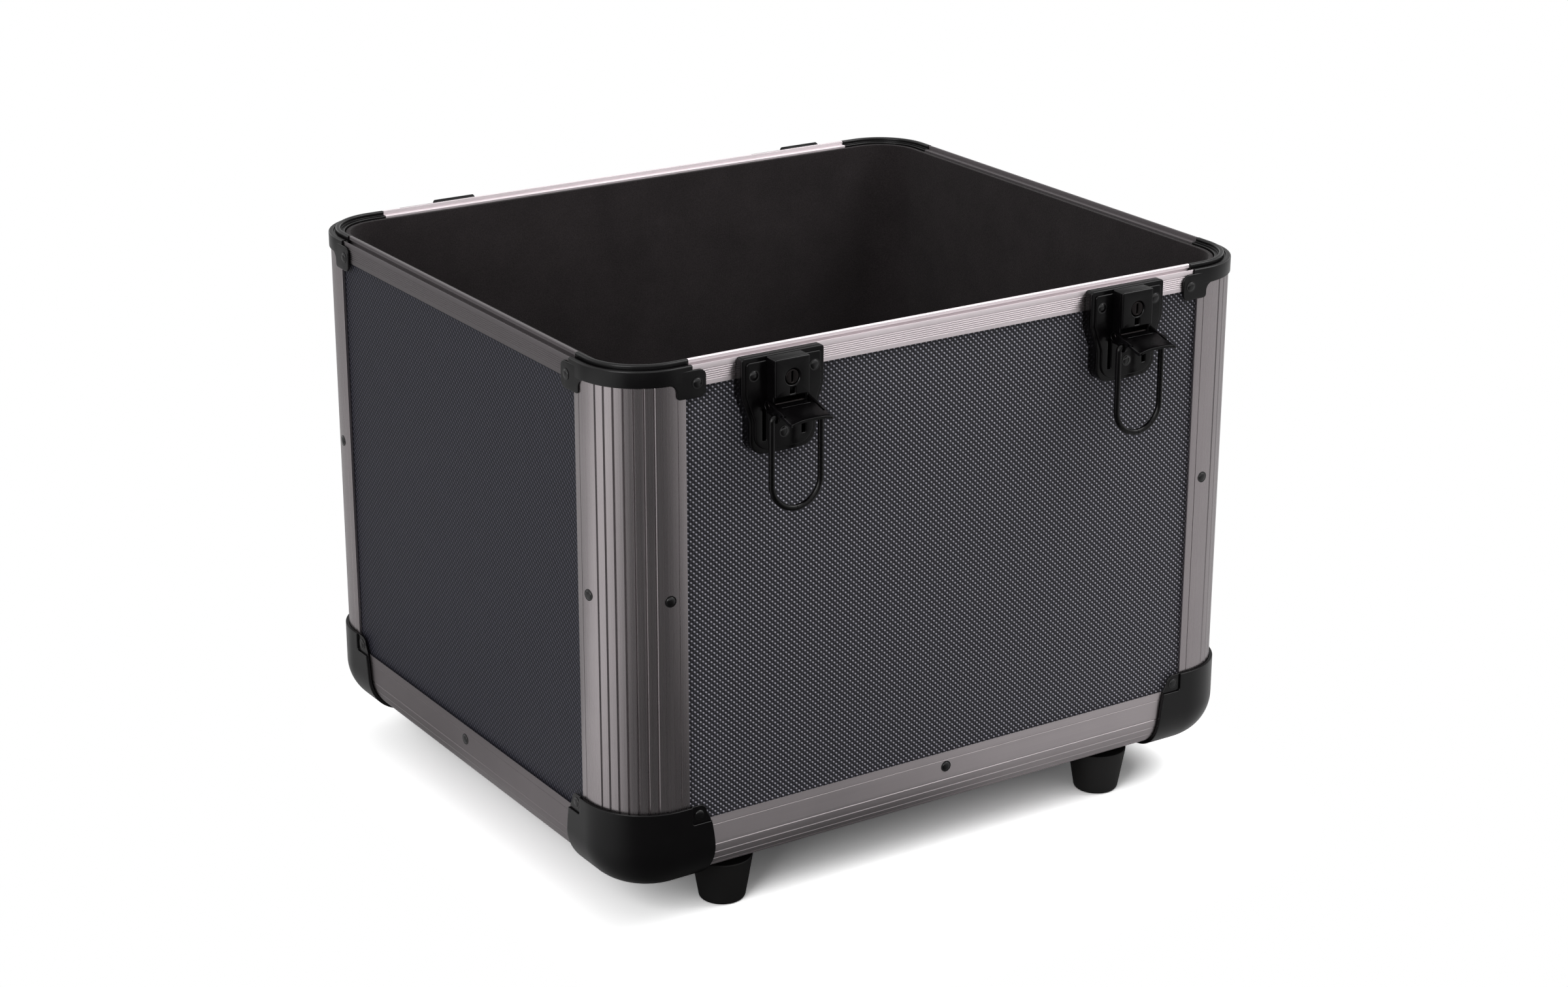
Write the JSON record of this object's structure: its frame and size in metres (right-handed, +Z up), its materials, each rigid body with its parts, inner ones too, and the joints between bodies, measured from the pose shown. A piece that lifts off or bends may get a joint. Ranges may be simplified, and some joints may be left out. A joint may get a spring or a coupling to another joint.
{
  "type": "record carrying case",
  "caption": "Open-topped carrying case with board panels, fluted aluminium corner posts and edges, black corner guards, draw latches on the front and rubber feet.",
  "frame": {"origin": "centre of the whole part's footprint, on the ground plane under the feet", "axes": "+Z up, the latches face -Y, +X to the right seen from the front"},
  "size_m": [0.3702, 0.349, 0.2818],
  "materials": {
    "anodised_aluminium": "grey anodised, fine extrusion lines",
    "laminated_board": "charcoal laminate with a raised dot pattern",
    "black_corner": "satin black",
    "black_latch": "smooth black paint",
    "dark_steel": "blackened steel",
    "black_rubber": "matt black",
    "black_felt": "black napped lining"
  },
  "bodies": {
    "case": {"corner_post_front_left": "anodised_aluminium", "corner_post_front_right": "anodised_aluminium", "corner_post_back_right": "anodised_aluminium", "corner_post_back_left": "anodised_aluminium", "top_rim_front": "anodised_aluminium", "top_rim_right": "anodised_aluminium", "top_rim_back": "anodised_aluminium", "top_rim_left": "anodised_aluminium", "bottom_edge_front": "anodised_aluminium", "bottom_edge_right": "anodised_aluminium", "bottom_edge_back": "anodised_aluminium", "bottom_edge_left": "anodised_aluminium", "panel_front": "laminated_board", "panel_right": "laminated_board", "panel_back": "laminated_board", "panel_left": "laminated_board", "floor_board": "laminated_board", "top_corner_front_left": "black_corner", "top_corner_front_right": "black_corner", "top_corner_back_right": "black_corner", "top_corner_back_left": "black_corner", "bottom_corner_front_left": "black_corner", "bottom_corner_front_right": "black_corner", "bottom_corner_back_right": "black_corner", "bottom_corner_back_left": "black_corner", "foot_front_left": "black_rubber", "foot_front_right": "black_rubber", "foot_back_left": "black_rubber", "foot_back_right": "black_rubber", "latch_plate_left": "black_latch", "lever_pin_left": "dark_steel", "latch_plate_right": "black_latch", "lever_pin_right": "dark_steel", "hinge_leaf_left": "black_latch", "hinge_pin_left": "dark_steel", "hinge_leaf_right": "black_latch", "hinge_pin_right": "dark_steel", "wall_lining": "black_felt", "floor_lining": "black_felt"},
    "lever_left": {"latch_lever_left": "black_latch"},
    "bail_left": {"latch_bail_left": "black_latch"},
    "lock_left": {"lock_barrel_left": "dark_steel"},
    "lever_right": {"latch_lever_right": "black_latch"},
    "bail_right": {"latch_bail_right": "black_latch"},
    "lock_right": {"lock_barrel_right": "dark_steel"}
  },
  "joints": [
    {"name": "lever_left_swing", "type": "hinge", "parent": "case", "child": "lever_left", "pos_m": [-0.0987, -0.1535, 0.2571], "axis": [1, 0, 0], "range_deg": [0, 70]},
    {"name": "bail_left_swing", "type": "hinge", "parent": "lever_left", "child": "bail_left", "pos_m": [-0.0987, -0.1604, 0.2537], "axis": [1, 0, 0], "range_deg": [-238, 0]},
    {"name": "lock_left_turn", "type": "hinge", "parent": "case", "child": "lock_left", "pos_m": [-0.0987, -0.1571, 0.2702], "axis": [0, -1, 0], "range_deg": [0, 90]},
    {"name": "lever_right_swing", "type": "hinge", "parent": "case", "child": "lever_right", "pos_m": [0.0987, -0.1535, 0.2571], "axis": [1, 0, 0], "range_deg": [0, 70]},
    {"name": "bail_right_swing", "type": "hinge", "parent": "lever_right", "child": "bail_right", "pos_m": [0.0987, -0.1604, 0.2537], "axis": [1, 0, 0], "range_deg": [-238, 0]},
    {"name": "lock_right_turn", "type": "hinge", "parent": "case", "child": "lock_right", "pos_m": [0.0987, -0.1571, 0.2702], "axis": [0, -1, 0], "range_deg": [0, 90]}
  ],
  "couplings": [
    {"joint": "bail_left_swing", "follows": "lever_left_swing", "ratio": -3.4},
    {"joint": "bail_right_swing", "follows": "lever_right_swing", "ratio": -3.4}
  ]
}
